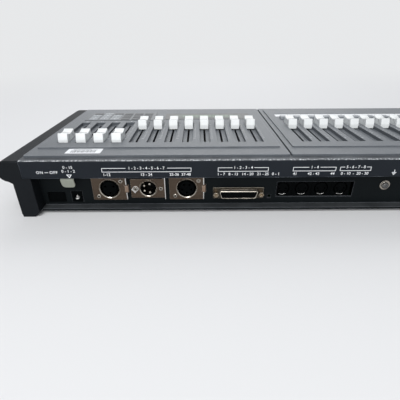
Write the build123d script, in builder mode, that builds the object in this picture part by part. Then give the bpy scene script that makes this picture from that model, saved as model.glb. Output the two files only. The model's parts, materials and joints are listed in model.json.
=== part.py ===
"""Lighting control desk: two fader modules in one low wedge-shaped case.

Frame: +X to the operator's right, +Y to the rear, +Z up, origin on the standing surface under the
middle of the case. Lengths are in millimetres.
"""
from math import cos, radians, sin, tan
import os

from build123d import *

os.makedirs("parts", exist_ok=True)

# ---------------------------------------------------------------- case
desk_depth = 230.0
rear_height = 61.9          # standing surface to the rear top edge
top_slope = 2.5             # degrees, the top falls towards the operator
sheet = 2.5                 # cover and tray wall
fascia_height = 18.6        # overhanging strip across the rear
recess_depth = 15.6         # fascia face to connector panel
rear_edge_radius = 2.4
front_edge_radius = 5.0
tray_lift = 3.0             # underside of the tray above the standing surface
panel_thickness = 2.0
ledge_depth = 9.1           # tray floor showing behind the connector panel
fit_gap = 0.3               # general assembly clearance
return_lip = 4.0            # cover flange running on in front of the connector panel
upstand_height = 14.0       # folded front edge of the tray
cut_clear = 1.0             # how far a cut starts before and ends behind the panel

# ---------------------------------------------------------------- end cheeks
bumper_radius = 11.2
bumper_flat = 12.6          # flat strip on top of the bumper
bumper_tuck = 1.6           # bumper curling in under to the wall
cheek_wall = 10.1
foot_inset = 8.0            # rear leg reaching in under the fascia
foot_chamfer = 5.2
foot_taper = 0.9
cheek_break = 1.2           # broken edge at each end of the bumper
cheek_proud = 0.4           # cheek standing out past the case at the rear and the front

# ---------------------------------------------------------------- fader modules
bezel_width = 259.0
module_seam = 2.0           # between the two bezels
bezel_side = 2.0            # outer end of a bezel to the end cheek
bezel_margin = 9.0          # rear and front edges of the case to the bezel
bezel_step = 2.2            # bezel edge standing on the cover
bezel_lip = 4.0             # bezel edge resting on the cover
bezel_corner = 1.2
field_side = 5.5            # end of a bezel to the raised field
field_start = 30.0          # rear edge of the case to the raised field
field_length = 178.0
field_step = 1.4
fader_count = 12
fader_pitch = 19.0
fader_travel = 60.0
trough_start = 46.0         # rear edge of the case to the troughs
trough_width = 11.6
trough_depth = 3.8
trough_end_gap = 2.0        # left over beyond the cap at each end of its travel
slot_width = 2.4
slot_end = 0.6              # end of a trough to its slot
masters_up = 4              # master faders resting at full travel

# ---------------------------------------------------------------- fader caps
cap_width = 10.4
cap_length = 24.0
cap_height = 12.0
cap_lift = 1.0              # cap above the trough floor
cap_end_slope = 2.0         # each end of the cap leaning in above its skirt
cap_skirt = 5.0
cap_dip = 2.2
lever_width = 1.2
lever_length = 4.0
lever_grip = 5.0            # lever pushed up into the cap
lever_end_gap = 0.8

# ---------------------------------------------------------------- slide controls and boards
control_width = 9.0
control_length = 86.0
control_height = 7.0
control_slot = 2.4
control_floor = 1.2
lever_clearance = 0.6
board_thickness = 1.6
board_length = 130.0        # across the troughs and the buttons
board_margin = 4.0

# ---------------------------------------------------------------- flash buttons
button_offset = 18.0        # front end of the troughs to the button row
button_width = 12.0
button_length = 9.0
button_rise = 3.0
button_gap = 0.3
button_flange = 1.0
button_flange_height = 1.0
button_travel = 1.5
button_play = 0.2           # flange below the bezel's underside
button_round = 1.2
button_crown = 0.6
switch_width = 6.0

# ---------------------------------------------------------------- legend strip, display, keypad
strip_offset = 14.0         # button row to the writing strip
strip_width = 15.0
strip_depth = 0.6
window_width = 116.0
window_length = 34.0
window_thickness = 2.0
window_border = 6.0
window_proud = 0.3
keypad_width = 92.0
keypad_length = 44.0
keypad_thickness = 1.0
front_zone_gap = 14.0       # between the display and the keypad
panel_insert_offset = 32.0  # front end of the troughs to the middle of display and keypad

# ---------------------------------------------------------------- round outlets
# On the panel, a gap runs from the edge of one fitting to the next, away from the switch end.
outlet_flange = 36.0        # flange along X
socket_flange_height = 26.0
pin_flange_height = 21.6
outlet_flange_thickness = 1.5
outlet_corner = 1.0
outlet_lip = 1.0            # raised edge along one end of each flange
outlet_lip_height = 24.4
outlet_lip_proud = 0.9
outlet_shell_length = 20.0
outlet_rim = 1.0
outlet_rim_bevel = 0.7
outlet_gap = 12.25          # low-voltage inlet to the first flange
outlet_spacing = 4.0        # one flange to the next
outlet_height = 24.6
female_bore = 9.75
female_shell_wall = 1.15
female_core = 7.9
male_bore = 8.1
male_shell_wall = 1.5
core_base = 6.0             # part of the core seated in the shell
core_inset = 1.0            # socket face below the shell rim
contact_radius = 1.2
contact_circle = 5.0
pin_count = 4
pin_step = 72.0             # degrees between pins, one place of five left free
female_key = 2.4
latch_width = 4.6
latch_height = 8.2
latch_offset = 17.6
latch_rest = 0.2            # left standing out when the latch is pressed in
latch_depth = 6.0
latch_gap = 0.2
latch_travel = 1.4

# ---------------------------------------------------------------- serial outlet
serial_gap = 9.4            # last round outlet to the serial outlet
serial_height = 18.5
serial_flange = 53.0
serial_flange_height = 12.5
serial_flange_thickness = 1.0
serial_shell_width = 39.0
serial_shell_height = 8.4
serial_shell_length = 5.9
serial_shell_wall = 0.5
serial_side_angle = 10.0    # slant of the short sides, degrees
serial_body_depth = 9.0
serial_screw_x = 23.52
serial_pin_pitch = 2.77
serial_pin_rows = 2.84
serial_pin_radius = 0.5
serial_pin_count = 13       # in the long row
jack_flats = 5.0
jack_length = 5.0

# ---------------------------------------------------------------- round sockets
din_count = 4
din_pitch = 20.3
din_gap = 5.55              # self-test hole to the cutout
din_shift = 2.9             # middle of the cutout to the middle of the row
din_body_depth = 14.0
din_body_gap = 0.3
din_body_top = 31.8
din_centre = 22.1
din_well = 7.3
din_well_depth = 8.0
din_core_radius = 6.1
din_contact_circle = 3.75
din_contact_radius = 0.8
din_cutout_width = 79.9
din_cutout_height = 17.2

# ---------------------------------------------------------------- power entry, earth, self test
switch_gap = 13.45          # end of the case to the switch frame
switch_height = 14.8
switch_frame_width = 18.1
switch_frame_height = 10.9
switch_flange = 1.2
switch_body_depth = 13.0
switch_rim = 1.4            # frame's flange reaching past its body
switch_well_gap = 0.7       # rocker to the sides of its well
switch_well_depth = 5.5
rocker_length = 14.4
rocker_height = 7.4
rocker_ends = 1.9           # rocker ends above the panel when level
rocker_middle = 0.9
rocker_depth = 3.0
rocker_pivot_depth = 0.5
rocker_tilt = 8.0
rocker_pin_radius = 0.9
rocker_pin_length = 8.6
running_gap = 0.05
dc_gap = 6.7                # switch frame to the low-voltage inlet
dc_width = 10.9
dc_height = 12.1
dc_proud = 0.8
dc_depth = 13.0
dc_bore = 3.1
dc_bore_depth = 9.5
dc_pin_radius = 1.05
earth_gap = 26.65           # cutout of the round sockets to the washer
earth_height = 26.7
earth_washer = 5.2
earth_washer_thickness = 1.0
earth_head = 3.4
earth_head_height = 2.2
earth_screw = 2.0
earth_nut = 3.6
earth_nut_height = 3.0
earth_screw_end = 1.0       # screw standing out of its nut
test_hole_gap = 4.4         # serial outlet to the self-test hole
test_hole_height = 14.0
test_hole = 3.6

# ---------------------------------------------------------------- cable clip
clip_shift = 1.3            # middle of the clip to the low-voltage inlet
clip_width = 13.0
clip_thickness = 1.2
clip_seat = 7.0
clip_drop = 11.5
clip_lean = 18.0            # degrees out from the panel
clip_curl = 3.2
clip_corner = 3.6

# ---------------------------------------------------------------- connector board, feet, screws
connector_board_top = 9.0
connector_board_depth = 34.0
connector_board_inset = 12.0
connector_board_end = 9.0   # board reaching past the row of round sockets
standoff_radius = 3.0
standoff_inset = 6.0
foot_radius = 9.0
foot_inset_x = 34.0
foot_inset_y = 22.0
foot_recess = 4.2
foot_recess_depth = 1.6
rivet_across = 12.2         # rivets of the socket outlets, each way from the axis
rivet_down = 8.6
rivet_level = 13.1          # rivets of the pin outlet, both at the height of its axis
rivet_head = 2.4
rivet_head_height = 1.0
rivet_bevel = 0.5
rivet_bore = 1.0
rivet_length = 5.0
tag_thickness = 0.4
tag_ring = 3.1
tag_reach = 4.7
tag_drop = 5.5
tag_tip = 0.8
screw_radius = 1.5
screw_head = 2.7
screw_head_height = 1.5
screw_length = 6.0
hole_gap = 0.1
recess_width = 0.8
recess_depth_in_head = 0.7

# ---------------------------------------------------------------- places that follow
rear_y = desk_depth / 2
front_y = -rear_y
panel_y = rear_y - recess_depth
panel_inner_y = panel_y - panel_thickness
fascia_bottom = rear_height - fascia_height
floor_top = tray_lift + sheet
module_x = (module_seam + bezel_width) / 2
cover_half = module_x + bezel_width / 2 + bezel_side
field_width = bezel_width - 2 * field_side
field_top = bezel_step + field_step
trough_floor = field_top - trough_depth
trough_length = fader_travel + cap_length + 2 * trough_end_gap
trough_middle = trough_start + trough_length / 2
trough_end = trough_start + trough_length
slot_length = trough_length - 2 * slot_end
control_slot_length = fader_travel + lever_length + 2 * lever_end_gap
fader_up = trough_start + trough_end_gap + cap_length / 2
fader_down = fader_up + fader_travel
button_row = trough_end + button_offset
strip_row = button_row + strip_offset + button_length / 2
insert_row = trough_end + panel_insert_offset
field_middle = field_start + field_length / 2
switch_body_width = switch_frame_width - 2 * switch_rim / 2
switch_body_height = switch_frame_height - 2 * switch_rim / 2
switch_well_width = rocker_length + 2 * switch_well_gap
switch_well_height = rocker_height + 2 * hole_gap
dc_centre = connector_board_top + dc_height / 2
outlet_pitch = outlet_flange + outlet_spacing
switch_x = cover_half - switch_gap - switch_frame_width / 2
dc_x = switch_x - switch_frame_width / 2 - dc_gap - dc_width / 2
first_outlet_x = dc_x - dc_width / 2 - outlet_gap - outlet_flange / 2
last_outlet_x = first_outlet_x - 2 * outlet_pitch
serial_x = last_outlet_x - outlet_flange / 2 - serial_gap - serial_flange / 2
test_hole_x = serial_x - serial_flange / 2 - test_hole_gap - test_hole / 2
din_cutout_x = test_hole_x - test_hole / 2 - din_gap - din_cutout_width / 2
din_middle_x = din_cutout_x + din_shift
earth_x = din_cutout_x - din_cutout_width / 2 - earth_gap - earth_washer
connector_board_start = cover_half - connector_board_inset
connector_board_width = connector_board_start - din_middle_x + din_count * din_pitch / 2 + connector_board_end
panel_cut = panel_thickness + 2 * cut_clear
outlet_face = outlet_flange_thickness + outlet_rim
latch_proud = latch_travel + latch_rest
serial_bore_width = serial_shell_width - 2 * serial_shell_wall
serial_bore_height = serial_shell_height - 2 * serial_shell_wall
window_x = module_x - (keypad_width + front_zone_gap) / 2
keypad_x = module_x + (window_width + front_zone_gap) / 2
clip_y = rear_y - clip_curl - 2 * clip_thickness
front_height = rear_height - desk_depth * tan(radians(top_slope))

deck = Plane(
    origin=(0, rear_y, rear_height),
    x_dir=(1, 0, 0),
    z_dir=(0, -sin(radians(top_slope)), cos(radians(top_slope))),
)


def deck_plane(x=0.0, s=0.0, z=0.0):
    """Plane parallel to the sloping top, s forward from its rear edge and z above it."""
    return Plane(origin=deck.from_local_coords(Vector(x, -s, z)), x_dir=deck.x_dir, z_dir=deck.z_dir)


def rear_plane(x=0.0, z=0.0, out=0.0):
    """Plane on the connector panel's outer face, its normal to the rear and its y axis up."""
    return Plane(origin=(x, panel_y + out, z), x_dir=(-1, 0, 0), z_dir=(0, 1, 0))


def under_top(y, below=0.0):
    """Height of a plane parallel to the top, so far below it, at depth y."""
    return rear_height - (rear_y - y) * tan(radians(top_slope)) - below / cos(radians(top_slope))


def save(piece, name):
    """Label a finished piece and write it under its own name."""
    piece.part.label = name
    export_step(piece.part, f"parts/{name}.step")


def fader_offsets():
    """Positions of a module's faders across its width, from its middle."""
    return [(i - (fader_count - 1) / 2) * fader_pitch for i in range(fader_count)]


# ---------------------------------------------------------------- top cover
bezel_depth = desk_depth - 2 * bezel_margin
bezel_middle = bezel_margin + bezel_depth / 2
aperture_width = bezel_width - 2 * bezel_lip
aperture_depth = bezel_depth - 2 * bezel_lip

cover_outline = [
    (rear_y, fascia_bottom),
    (rear_y, rear_height),
    (front_y, front_height),
    (front_y, tray_lift),
    (front_y + sheet, tray_lift),
    (front_y + sheet, under_top(front_y + sheet, sheet)),
    (rear_y - sheet, under_top(rear_y - sheet, sheet)),
    (rear_y - sheet, fascia_bottom + sheet),
    (panel_inner_y - return_lip, fascia_bottom + sheet),
    (panel_inner_y - return_lip, fascia_bottom),
]

with BuildPart() as top_cover:
    with BuildSketch(Plane.YZ.offset(-cover_half)) as cover_profile:
        with BuildLine():
            Polyline(*cover_outline, close=True)
        make_face()
        rear_corner = cover_profile.vertices().sort_by_distance((rear_y, rear_height))[0]
        fillet(rear_corner, rear_edge_radius)
        front_corner = cover_profile.vertices().sort_by_distance((front_y, front_height))[0]
        fillet(front_corner, front_edge_radius)
    extrude(amount=2 * cover_half)
    for side in (-1, 1):
        with BuildSketch(deck_plane(side * module_x, bezel_middle, bezel_step)):
            Rectangle(aperture_width, aperture_depth)
        extrude(amount=-(bezel_step + 2 * sheet), mode=Mode.SUBTRACT)
save(top_cover, "top_cover")

# ---------------------------------------------------------------- base tray with its connector panel
tray_front = front_y + sheet + fit_gap
leg_inner_x = cover_half - foot_inset
board_y = panel_inner_y - fit_gap


def outlet_x(i):
    """Place of an outlet along the panel."""
    return first_outlet_x - i * outlet_pitch


def rivet_spots(i):
    """Places of an outlet's rivets round its axis: level on the pin outlet, diagonal on the others."""
    if i == 1:
        return [(-rivet_level, 0), (rivet_level, 0)]
    return [(-rivet_across, -rivet_down), (rivet_across, rivet_down)]


def din_x(i):
    """Place of a round socket along the panel."""
    return din_middle_x + ((din_count - 1) / 2 - i) * din_pitch


def outlet_shell_radius(i):
    """Outer radius of an outlet's shell: the middle outlet has pins, the others sockets."""
    return male_bore + male_shell_wall if i == 1 else female_bore + female_shell_wall


foot_spots = [
    (side * (cover_half - foot_inset_x), end * (rear_y - foot_inset_y))
    for side in (-1, 1)
    for end in (-1, 1)
]


def d_outline(width, height):
    """Outline of the serial outlet's shell: a wide trapezium, narrower below, with round corners."""
    slant = height * tan(radians(serial_side_angle))
    with BuildSketch(mode=Mode.PRIVATE) as outline:
        with BuildLine():
            Polyline(
                (-width / 2, height / 2),
                (width / 2, height / 2),
                (width / 2 - slant, -height / 2),
                (-width / 2 + slant, -height / 2),
                close=True,
            )
        make_face()
        fillet(outline.vertices(), height / 5)
    return outline.sketch


with BuildPart() as base_tray:
    with BuildSketch(Plane.XY.offset(tray_lift)):
        with Locations((0, (tray_front + panel_y) / 2)):
            Rectangle(2 * cover_half, panel_y - tray_front)
        with Locations((0, panel_y + ledge_depth / 2)):
            Rectangle(2 * leg_inner_x, ledge_depth)
    extrude(amount=sheet)
    with BuildSketch(Plane.XZ.offset(-panel_y)):
        with Locations((0, (floor_top + fascia_bottom) / 2)):
            Rectangle(2 * cover_half, fascia_bottom - floor_top)
    extrude(amount=panel_thickness)
    with BuildSketch(Plane.XY.offset(floor_top)):
        with Locations((0, tray_front + sheet / 2)):
            Rectangle(2 * cover_half, sheet)
    extrude(amount=upstand_height)
    for i in range(3):
        with BuildSketch(rear_plane(outlet_x(i), outlet_height, cut_clear)):
            Circle(outlet_shell_radius(i) + fit_gap)
            if i != 1:
                with Locations((latch_offset, 0)):
                    Rectangle(latch_width + 2 * fit_gap, latch_height + 2 * fit_gap)
            with Locations(*rivet_spots(i)):
                Circle(screw_radius + hole_gap)
        extrude(amount=-panel_cut, mode=Mode.SUBTRACT)
    with BuildSketch(rear_plane(serial_x, serial_height, cut_clear)):
        Rectangle(serial_shell_width + 2 * fit_gap, serial_shell_height + 2 * fit_gap)
        with Locations((-serial_screw_x, 0), (serial_screw_x, 0)):
            Circle(screw_radius + hole_gap)
    extrude(amount=-panel_cut, mode=Mode.SUBTRACT)
    with BuildSketch(rear_plane(din_cutout_x, din_centre, cut_clear)):
        Rectangle(din_cutout_width, din_cutout_height)
    extrude(amount=-panel_cut, mode=Mode.SUBTRACT)
    with BuildSketch(rear_plane(switch_x, switch_height, cut_clear)):
        Rectangle(switch_body_width + 2 * fit_gap, switch_body_height + 2 * fit_gap)
    extrude(amount=-panel_cut, mode=Mode.SUBTRACT)
    with BuildSketch(rear_plane(dc_x, dc_centre, cut_clear)):
        Rectangle(dc_width + 2 * fit_gap, dc_height)
    extrude(amount=-panel_cut, mode=Mode.SUBTRACT)
    with BuildSketch(rear_plane(earth_x, earth_height, cut_clear)):
        Circle(earth_screw + hole_gap)
    extrude(amount=-panel_cut, mode=Mode.SUBTRACT)
    with BuildSketch(rear_plane(test_hole_x, test_hole_height, cut_clear)):
        Rectangle(test_hole, test_hole)
    extrude(amount=-panel_cut, mode=Mode.SUBTRACT)
    with Locations(*[(x, y, tray_lift) for x, y in foot_spots]):
        Hole(screw_radius + hole_gap)
save(base_tray, "base_tray")

# ---------------------------------------------------------------- end cheeks
bumper_x = cover_half + bumper_flat
wall_outer_x = cover_half + cheek_wall
bumper_low = rear_height - 2 * bumper_radius


def end_cheek(side):
    """Moulded end: a half-round bumper along the top, the wall under it and the rear leg."""
    rear_face = Plane(origin=(0, rear_y + cheek_proud, 0), x_dir=(1, 0, 0), z_dir=(0, -1, 0))
    with BuildPart() as cheek:
        with BuildSketch(rear_face):
            with BuildLine():
                Line((cover_half, rear_height), (bumper_x, rear_height))
                ThreePointArc(
                    (bumper_x, rear_height),
                    (bumper_x + bumper_radius, rear_height - bumper_radius),
                    (bumper_x, bumper_low),
                )
                Polyline(
                    (bumper_x, bumper_low),
                    (wall_outer_x, bumper_low - bumper_tuck),
                    (wall_outer_x, -rear_height / 2),
                    (cover_half, -rear_height / 2),
                    (cover_half, rear_height),
                )
            make_face()
        extrude(amount=(desk_depth + 2 * cheek_proud) / cos(radians(top_slope)), dir=-deck.y_dir)
        with BuildSketch(Plane.XY.offset(tray_lift)):
            with Locations((cover_half, 0)):
                Rectangle(2 * cover_half, 2 * desk_depth)
        extrude(amount=-2 * rear_height, mode=Mode.SUBTRACT)
        with BuildSketch(rear_face):
            with BuildLine():
                Polyline(
                    (leg_inner_x, fascia_bottom),
                    (leg_inner_x, foot_chamfer),
                    (leg_inner_x + foot_chamfer, 0),
                    (wall_outer_x - foot_taper, 0),
                    (wall_outer_x, foot_chamfer),
                    (wall_outer_x, bumper_low - bumper_tuck),
                    (cover_half, fascia_bottom),
                    close=True,
                )
            make_face()
        extrude(amount=recess_depth + cheek_proud)
        outer_ends = cheek.edges().filter_by(lambda e: e.center().X > wall_outer_x + cheek_break)
        rims = outer_ends.filter_by(GeomType.CIRCLE)
        chamfer(rims, cheek_break)
        if side < 0:
            mirror(cheek.part, about=Plane.YZ, mode=Mode.REPLACE)
    return cheek


for side, name in ((1, "right_end_cheek"), (-1, "left_end_cheek")):
    save(end_cheek(side), name)

# ---------------------------------------------------------------- fader bezels

def bezel(side):
    """Moulded module top: lip on the cover, body in the aperture, raised field with fader troughs."""
    with BuildPart() as module:
        with BuildSketch(deck_plane(side * module_x, bezel_middle)) as lip:
            Rectangle(bezel_width, bezel_depth)
            fillet(lip.vertices(), bezel_corner)
        extrude(amount=bezel_step)
        with BuildSketch(deck_plane(side * module_x, bezel_middle)):
            Rectangle(aperture_width - 2 * fit_gap, aperture_depth - 2 * fit_gap)
        extrude(amount=-sheet)
        with BuildSketch(deck_plane(side * module_x, field_middle, bezel_step)):
            Rectangle(field_width, field_length)
        extrude(amount=field_step)
        with BuildSketch(deck_plane(side * module_x, trough_middle, field_top)):
            with Locations(*[(x, 0) for x in fader_offsets()]):
                Rectangle(trough_width, trough_length)
        extrude(amount=-trough_depth, mode=Mode.SUBTRACT)
        with BuildSketch(deck_plane(side * module_x, trough_middle, field_top)):
            with Locations(*[(x, 0) for x in fader_offsets()]):
                Rectangle(slot_width, slot_length)
        extrude(amount=-field_top - 2 * sheet, mode=Mode.SUBTRACT)
        if side < 0:
            with BuildSketch(deck_plane(side * module_x, button_row, field_top)):
                with Locations(*[(x, 0) for x in fader_offsets()]):
                    Rectangle(button_width + 2 * button_gap, button_length + 2 * button_gap)
            extrude(amount=-field_top - 2 * sheet, mode=Mode.SUBTRACT)
            with BuildSketch(deck_plane(side * module_x, strip_row, field_top)):
                Rectangle(fader_count * fader_pitch, strip_width)
            extrude(amount=-strip_depth, mode=Mode.SUBTRACT)
        else:
            with BuildSketch(deck_plane(window_x, insert_row, field_top)):
                Rectangle(window_width + 2 * fit_gap, window_length + 2 * fit_gap)
            extrude(amount=-window_thickness + window_proud, mode=Mode.SUBTRACT)
            with BuildSketch(deck_plane(window_x, insert_row, field_top)):
                Rectangle(window_width - 2 * window_border, window_length - 2 * window_border)
            extrude(amount=-field_top - 2 * sheet, mode=Mode.SUBTRACT)
            with BuildSketch(deck_plane(keypad_x, insert_row, field_top)):
                Rectangle(keypad_width + 2 * fit_gap, keypad_length + 2 * fit_gap)
            extrude(amount=-keypad_thickness / 2, mode=Mode.SUBTRACT)
    return module


save(bezel(-1), "channel_bezel")
save(bezel(1), "master_bezel")

# ---------------------------------------------------------------- faders
cap_bottom = trough_floor + cap_lift
lever_bottom = -sheet - control_height + control_floor + lever_clearance


def fader_cap(x, s):
    """Finger cap, dished along its top and socketed for the lever."""
    half = cap_length / 2
    start = deck_plane(x - cap_width / 2, s, cap_bottom).origin
    with BuildPart() as cap:
        with BuildSketch(Plane(origin=start, x_dir=deck.y_dir, z_dir=deck.x_dir)):
            with BuildLine():
                Polyline(
                    (half - cap_end_slope, cap_height),
                    (half, cap_skirt),
                    (half, 0),
                    (-half, 0),
                    (-half, cap_skirt),
                    (-half + cap_end_slope, cap_height),
                )
                ThreePointArc(
                    (-half + cap_end_slope, cap_height),
                    (0, cap_height - cap_dip),
                    (half - cap_end_slope, cap_height),
                )
            make_face()
        extrude(amount=cap_width)
        with BuildSketch(deck_plane(x, s, cap_bottom)):
            Rectangle(lever_width, lever_length)
        extrude(amount=lever_grip, mode=Mode.SUBTRACT)
    return cap


def fader_lever(x, s):
    """Flat metal lever from the cap's socket down into the slide control."""
    with BuildPart() as lever:
        with BuildSketch(deck_plane(x, s, lever_bottom)):
            Rectangle(lever_width, lever_length)
        extrude(amount=cap_bottom + lever_grip - lever_bottom)
    return lever


def save_group(pieces, name):
    """Write several separate solids as one node."""
    group = Compound(label=name, children=[piece.part for piece in pieces])
    export_step(group, f"parts/{name}.step")


for i, offset in enumerate(fader_offsets()):
    x = -module_x + offset
    save_group([fader_cap(x, fader_down), fader_lever(x, fader_down)], f"channel_fader_{i + 1}")

for i, offset in enumerate(fader_offsets()):
    x = module_x + offset
    s = fader_up if i >= fader_count - masters_up else fader_down
    save_group([fader_cap(x, s), fader_lever(x, s)], f"master_fader_{i + 1}")

# ---------------------------------------------------------------- flash buttons
button_shoulder = -sheet - button_play


def flash_button(x):
    """Push button through the bezel, kept in by the flange on its skirt."""
    with BuildPart() as button:
        with BuildSketch(deck_plane(x, button_row, button_shoulder)) as shaft:
            Rectangle(button_width, button_length)
            fillet(shaft.vertices(), button_round)
        extrude(amount=field_top + button_rise - button_shoulder)
        crown = button.faces().sort_by(SortBy.AREA).filter_by(lambda f: f.normal_at().Z > 0.9)[-1]
        chamfer(crown.edges(), button_crown)
        with BuildSketch(deck_plane(x, button_row, button_shoulder)):
            Rectangle(button_width + 2 * button_flange, button_length + 2 * button_flange)
        extrude(amount=-button_flange_height)
    return button


for i, offset in enumerate(fader_offsets()):
    save(flash_button(-module_x + offset), f"flash_button_{i + 1}")

# ---------------------------------------------------------------- outlets


def outlet_shell(i):
    """Metal flange with one raised end and the round shell of one outlet."""
    x = outlet_x(i)
    bore = male_bore if i == 1 else female_bore
    with BuildPart() as shell:
        with BuildSketch(rear_plane(x, outlet_height)) as plate:
            Rectangle(outlet_flange, pin_flange_height if i == 1 else socket_flange_height)
            fillet(plate.vertices(), outlet_corner)
        extrude(amount=outlet_flange_thickness)
        with BuildSketch(rear_plane(x, outlet_height)):
            with Locations(((outlet_flange - outlet_lip) / 2, 0)):
                Rectangle(outlet_lip, outlet_lip_height)
        extrude(amount=outlet_flange_thickness + outlet_lip_proud)
        with BuildSketch(rear_plane(x, outlet_height, outlet_face)):
            Circle(outlet_shell_radius(i))
        extrude(amount=-outlet_shell_length)
        with BuildSketch(rear_plane(x, outlet_height, outlet_face)):
            Circle(bore)
        extrude(amount=-outlet_shell_length, mode=Mode.SUBTRACT)
        mouth = shell.faces().sort_by(Axis.Y)[-1].edges().sort_by(SortBy.RADIUS)[0]
        chamfer(mouth, outlet_rim_bevel)
        with BuildSketch(rear_plane(x, outlet_height)):
            with Locations(*rivet_spots(i)):
                Circle(screw_radius + hole_gap)
            if i != 1:
                with Locations((latch_offset, 0)):
                    Rectangle(latch_width + 2 * latch_gap, latch_height + 2 * latch_gap)
        extrude(amount=outlet_face, mode=Mode.SUBTRACT)
    return shell


def pin_places():
    """Places of the middle outlet's pins round its axis."""
    return PolarLocations(contact_circle, pin_count, start_angle=pin_step, angular_range=pin_count * pin_step)


def outlet_pins():
    """Four contact pins of the middle outlet."""
    length = outlet_shell_length - outlet_rim
    with BuildPart() as pins:
        with BuildSketch(rear_plane(outlet_x(1), outlet_height, outlet_face - outlet_shell_length)):
            with pin_places():
                Circle(contact_radius)
        extrude(amount=length)
        fillet(pins.faces().filter_by(Axis.Y).group_by(Axis.Y)[-1].edges(), contact_radius / 2)
    return pins


save(outlet_shell(0), "output_1_shell")
save_group([outlet_shell(1), outlet_pins()], "output_2_shell")
save(outlet_shell(2), "output_3_shell")


def socket_core(i, contacts):
    """Insulator of a socket outlet, standing free in its shell with a base that fills the bore."""
    face = outlet_face - core_inset
    back = outlet_face - outlet_shell_length
    with BuildPart() as core:
        with BuildSketch(rear_plane(outlet_x(i), outlet_height, back)):
            Circle(female_bore)
        extrude(amount=core_base)
        with BuildSketch(rear_plane(outlet_x(i), outlet_height, back + core_base)):
            Circle(female_core)
        extrude(amount=face - back - core_base)
        with BuildSketch(rear_plane(outlet_x(i), outlet_height, face)):
            with PolarLocations(contact_circle, contacts, start_angle=90 - 180 / contacts):
                Circle(contact_radius)
        extrude(amount=-outlet_shell_length / 2, mode=Mode.SUBTRACT)
        with BuildSketch(rear_plane(outlet_x(i), outlet_height, face)):
            with Locations((-female_core, 0)):
                Rectangle(female_key, female_key)
        extrude(amount=-outlet_shell_length / 2, mode=Mode.SUBTRACT)
    return core


def pin_core():
    """Insulator of the middle outlet, low in its shell, holding the pins."""
    with BuildPart() as core:
        with BuildSketch(rear_plane(outlet_x(1), outlet_height, outlet_face - outlet_shell_length)):
            Circle(male_bore)
            with pin_places():
                Circle(contact_radius, mode=Mode.SUBTRACT)
        extrude(amount=core_base)
    return core


def serial_core():
    """Insulator of the serial outlet with its two rows of contact holes and its rear body."""
    with BuildPart() as core:
        with BuildSketch(rear_plane(serial_x, serial_height, -serial_body_depth)):
            add(d_outline(serial_bore_width, serial_bore_height))
        extrude(amount=serial_body_depth + serial_shell_length - serial_shell_wall)
        with BuildSketch(rear_plane(serial_x, serial_height, serial_shell_length - serial_shell_wall)):
            for row, count in ((1, serial_pin_count), (-1, serial_pin_count - 1)):
                with Locations((0, row * serial_pin_rows / 2)):
                    with GridLocations(serial_pin_pitch, 1, count, 1):
                        Circle(serial_pin_radius)
        extrude(amount=-serial_shell_length, mode=Mode.SUBTRACT)
    return core


save_group([socket_core(0, 3), pin_core(), socket_core(2, 5), serial_core()], "connector_inserts")


def latch(i):
    """Release tab beside a socket outlet, pushed in towards the panel."""
    with BuildPart() as tab:
        with BuildSketch(rear_plane(outlet_x(i), outlet_height, outlet_flange_thickness + latch_proud)):
            with Locations((latch_offset, 0)):
                Rectangle(latch_width, latch_height)
        extrude(amount=-latch_depth - latch_proud - outlet_flange_thickness)
        outer = tab.faces().sort_by(Axis.Y)[-1]
        chamfer(outer.edges(), latch_width / 5)
    return tab


save(latch(0), "output_1_latch")
save(latch(2), "output_3_latch")

# ---------------------------------------------------------------- serial shell
with BuildPart() as serial_shell:
    with BuildSketch(rear_plane(serial_x, serial_height)) as plate:
        Rectangle(serial_flange, serial_flange_height)
        fillet(plate.vertices(), outlet_corner / 2)
        with Locations((-serial_screw_x, 0), (serial_screw_x, 0)):
            Circle(screw_radius + hole_gap, mode=Mode.SUBTRACT)
    extrude(amount=serial_flange_thickness)
    with BuildSketch(rear_plane(serial_x, serial_height)):
        add(d_outline(serial_shell_width, serial_shell_height))
    extrude(amount=serial_shell_length)
    with BuildSketch(rear_plane(serial_x, serial_height)):
        add(d_outline(serial_bore_width, serial_bore_height))
    extrude(amount=serial_shell_length, mode=Mode.SUBTRACT)
save(serial_shell, "serial_shell")


# ---------------------------------------------------------------- round sockets
def din_block(i):
    """Square moulding of a round socket, with its round well."""
    with BuildPart() as block:
        with BuildSketch(rear_plane(din_x(i), (din_body_top + connector_board_top) / 2, -panel_thickness)):
            Rectangle(din_pitch - din_body_gap, din_body_top - connector_board_top)
        extrude(amount=-din_body_depth)
        with BuildSketch(rear_plane(din_x(i), din_centre, -panel_thickness)):
            Circle(din_well)
        extrude(amount=-din_well_depth, mode=Mode.SUBTRACT)
    return block


def din_core(i):
    """Insulator standing in a round socket's well, with five contact holes."""
    with BuildPart() as core:
        with BuildSketch(rear_plane(din_x(i), din_centre, -panel_thickness)):
            Circle(din_core_radius)
        extrude(amount=-din_well_depth)
        with BuildSketch(rear_plane(din_x(i), din_centre, -panel_thickness)):
            with PolarLocations(din_contact_circle, 5, start_angle=180, angular_range=225):
                Circle(din_contact_radius)
        extrude(amount=-din_well_depth / 2, mode=Mode.SUBTRACT)
    return core


save_group([make(i) for i in range(din_count) for make in (din_block, din_core)], "din_sockets")

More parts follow.
